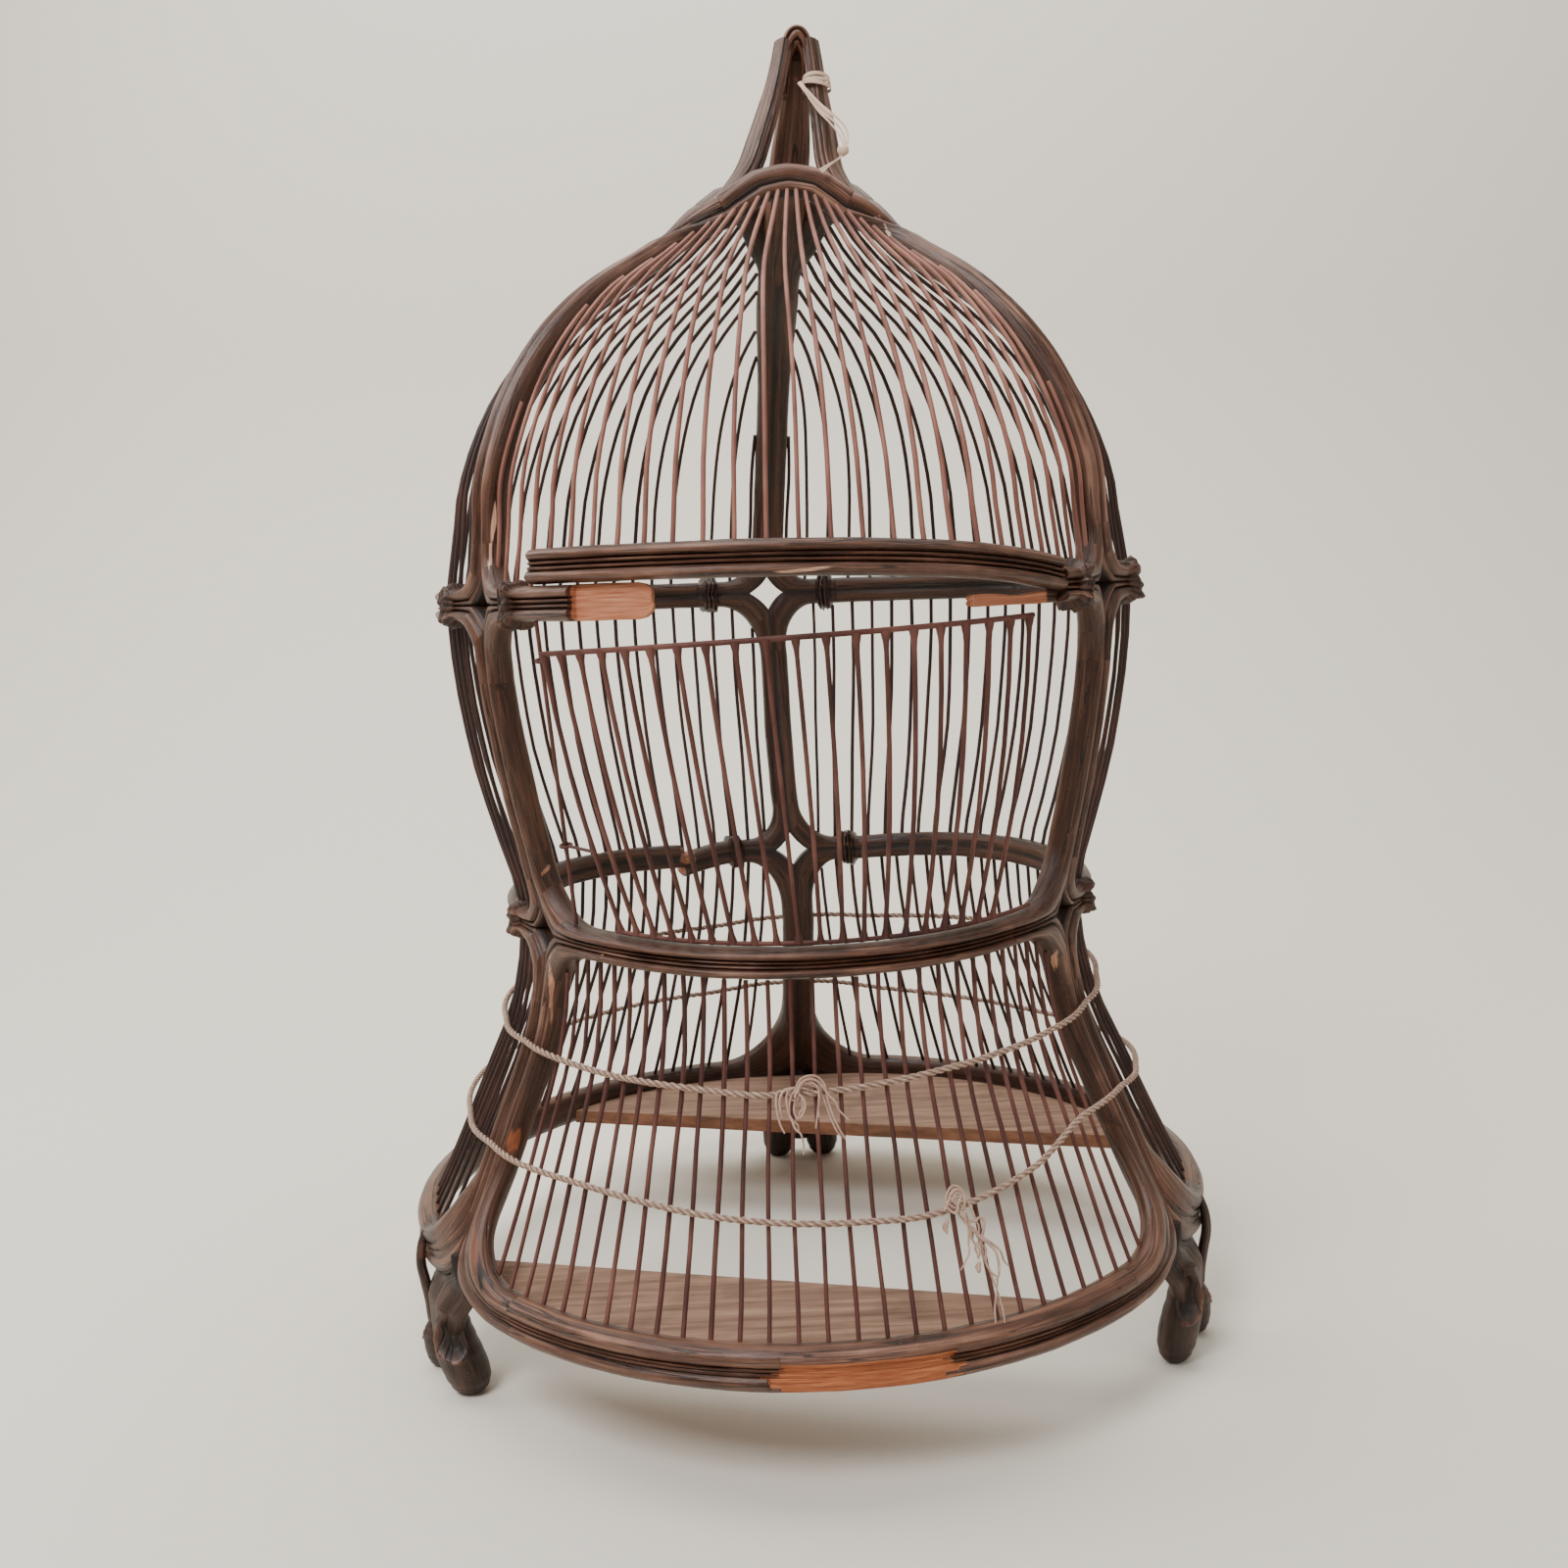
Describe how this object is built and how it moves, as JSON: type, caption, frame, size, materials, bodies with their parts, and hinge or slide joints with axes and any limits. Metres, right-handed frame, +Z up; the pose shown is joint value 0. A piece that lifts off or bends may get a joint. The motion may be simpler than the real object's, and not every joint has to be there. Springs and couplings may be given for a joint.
{
  "type": "birdcage",
  "caption": "Carved dark wood birdcage with three ribs, a domed top, a flared base on scroll feet, wire grilles and a hinged wire door.",
  "frame": {"origin": "on the floor, under the middle of the cage's bounding box", "axes": "+Z up, -Y towards the front with the wire door, +X to the viewer's right"},
  "size_m": [0.513, 0.518, 0.8],
  "materials": {
    "dark_carved_wood": "worn dark stained carved wood",
    "bare_board_wood": "bare greyed board",
    "rusty_iron_wire": "rusted red-brown iron wire",
    "hemp_twine": "twisted tan twine",
    "raffia_tie": "pale raffia"
  },
  "bodies": {
    "cage": {"arch_front": "dark_carved_wood", "arch_left": "dark_carved_wood", "arch_right": "dark_carved_wood", "base_rim_front": "dark_carved_wood", "base_rim_left": "dark_carved_wood", "base_rim_right": "dark_carved_wood", "floor_board_front": "bare_board_wood", "floor_board_rear": "bare_board_wood", "foot_back": "dark_carved_wood", "foot_front_left": "dark_carved_wood", "foot_front_right": "dark_carved_wood", "handle_crest": "dark_carved_wood", "handle_nail": "rusty_iron_wire", "raffia_tie": "raffia_tie", "rib_back": "dark_carved_wood", "rib_front_left": "dark_carved_wood", "rib_front_right": "dark_carved_wood", "shoulder_rail_left": "dark_carved_wood", "shoulder_rail_loose": "dark_carved_wood", "shoulder_rail_right": "dark_carved_wood", "twine_lower": "hemp_twine", "twine_upper": "hemp_twine", "waist_rail_front": "dark_carved_wood", "waist_rail_left": "dark_carved_wood", "waist_rail_right": "dark_carved_wood"},
    "door": {"wire_door": "rusty_iron_wire"}
  },
  "joints": [
    {"name": "door_hinge", "type": "hinge", "parent": "cage", "child": "door", "pos_m": [-0.1355, -0.13568, 0.35825], "axis": [-0.0474, -0.2102, 0.9765], "range_deg": [-95, 0]}
  ]
}
